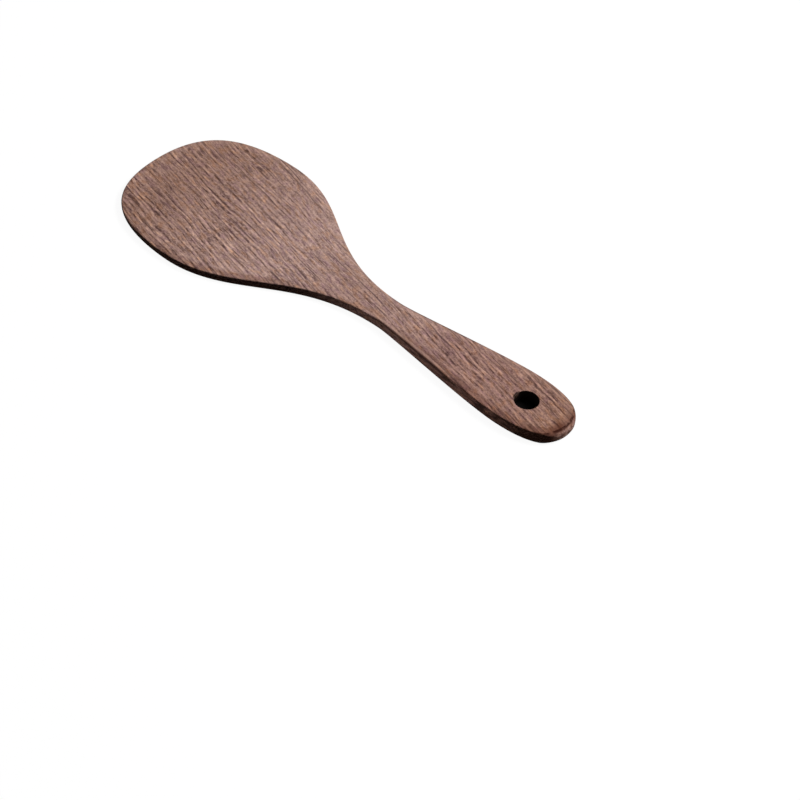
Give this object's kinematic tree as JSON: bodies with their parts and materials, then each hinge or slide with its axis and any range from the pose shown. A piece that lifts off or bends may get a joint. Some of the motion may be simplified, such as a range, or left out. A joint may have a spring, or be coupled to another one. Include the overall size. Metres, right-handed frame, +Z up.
{
  "type": "wooden rice paddle",
  "caption": "Flat one-piece wooden rice paddle or spatula with a broad round blade, a slim neck and a wider handle with a round hanging hole.",
  "frame": {"origin": "centre of the bounding box at the flat underside, where the paddle lies on a table", "axes": "+X along the paddle from the blade's tip to the handle's end, +Z up out of the blade's upper face, +Y across the blade"},
  "size_m": [0.217, 0.076, 0.0052],
  "materials": {
    "wenge": "sanded and lightly oiled, with fine dark grain lines running aslant to the length"
  },
  "bodies": {
    "root": {"rice_paddle": "wenge"}
  },
  "joints": []
}
